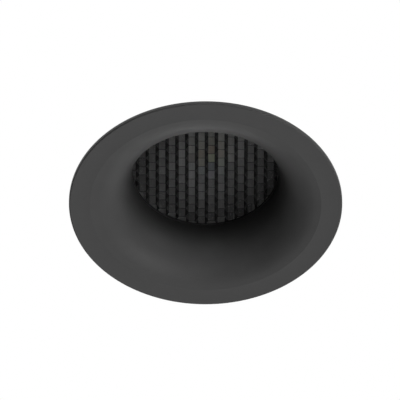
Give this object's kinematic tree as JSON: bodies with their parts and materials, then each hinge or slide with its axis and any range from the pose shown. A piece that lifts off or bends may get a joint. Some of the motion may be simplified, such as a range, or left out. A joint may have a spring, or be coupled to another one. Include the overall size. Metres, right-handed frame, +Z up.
{
  "type": "recessed soffit downlight",
  "caption": "Round recessed outdoor downlight: trumpet-flared trim, black honeycomb louvre, LED module, finned heat sink, wiring cover with cable gland, and sprung ceiling clips.",
  "frame": {"origin": "on the lamp's axis, in the plane of the soffit's underside where the trim's gasket seats", "axes": "+Z up the axis into the ceiling void, away from the lit room; +X towards the right spring clip's hinge, the two clips lying along X"},
  "size_m": [0.124, 0.095, 0.1172],
  "materials": {
    "trim_black": "fine matt black powder coat on die-cast aluminium",
    "gasket_foam": "closed-cell black foam",
    "louvre_foil": "black anodised foil honeycomb",
    "louvre_ring_black": "black anodised rolled channel",
    "spring_steel": "bright spring steel wire and strip",
    "clear_glass": "clear toughened glass",
    "silicone": "translucent grey silicone",
    "cast_black": "satin black powder coat on die-cast aluminium",
    "pad_grey": "thermal interface pad",
    "board_aluminium": "LED board, white solder mask on aluminium",
    "phosphor": "yellow phosphor in silicone",
    "holder_white": "white heat-resistant plastic",
    "reflector_bright": "bright metallised",
    "lead_red": "silicone-insulated wire",
    "lead_black": "silicone-insulated wire",
    "terminal_white": "nylon terminal block",
    "cover_black": "satin black powder coat on die-cast aluminium",
    "gland_nylon": "black nylon",
    "seal_rubber": "black nitrile rubber",
    "zinc_steel": "zinc-plated sheet steel",
    "foot_nylon": "black moulded grip",
    "stainless": "stainless steel screws and pins"
  },
  "bodies": {
    "root": {"trim_bezel": "trim_black", "soffit_gasket": "gasket_foam", "louvre_honeycomb": "louvre_foil", "louvre_ring": "louvre_ring_black", "louvre_circlip": "spring_steel", "front_glass": "clear_glass", "glass_seal": "silicone", "heat_sink": "cast_black", "trim_screws": "stainless", "thermal_pad": "pad_grey", "cob_board": "board_aluminium", "cob_emitter": "phosphor", "cob_holder": "holder_white", "holder_screws": "stainless", "reflector": "reflector_bright", "wire_grommet": "silicone", "lead_positive": "lead_red", "lead_negative": "lead_black", "terminal_block": "terminal_white", "terminal_screws": "stainless", "terminal_fixing_screw": "stainless", "rear_cover": "cover_black", "rear_cover_gasket": "silicone", "rear_cover_screws": "stainless", "gland_body": "gland_nylon", "gland_o_ring": "seal_rubber", "gland_seal": "seal_rubber", "gland_nut": "gland_nylon", "gland_locknut": "gland_nylon", "clip_bracket_left": "zinc_steel", "bracket_screws_left": "stainless", "clip_pin_left": "stainless", "pin_clip_left": "spring_steel", "torsion_spring_left": "spring_steel", "clip_bracket_right": "zinc_steel", "bracket_screws_right": "stainless", "clip_pin_right": "stainless", "pin_clip_right": "spring_steel", "torsion_spring_right": "spring_steel"},
    "clip_left": {"clip_arm_left": "zinc_steel", "clip_foot_left": "foot_nylon"},
    "clip_right": {"clip_arm_right": "zinc_steel", "clip_foot_right": "foot_nylon"}
  },
  "joints": [
    {"name": "right_clip_fold", "type": "hinge", "parent": "root", "child": "clip_right", "pos_m": [0.0352, 0, 0.03685], "axis": [0, -1, 0], "range_deg": [0, 140], "stiffness_Nm_per_rad": 0.09, "springref_deg": -51.57, "deforming": ["torsion_spring_right"]},
    {"name": "left_clip_fold", "type": "hinge", "parent": "root", "child": "clip_left", "pos_m": [-0.0352, 0, 0.03685], "axis": [0, 1, 0], "range_deg": [0, 140], "stiffness_Nm_per_rad": 0.09, "springref_deg": -51.57, "deforming": ["torsion_spring_left"]}
  ]
}
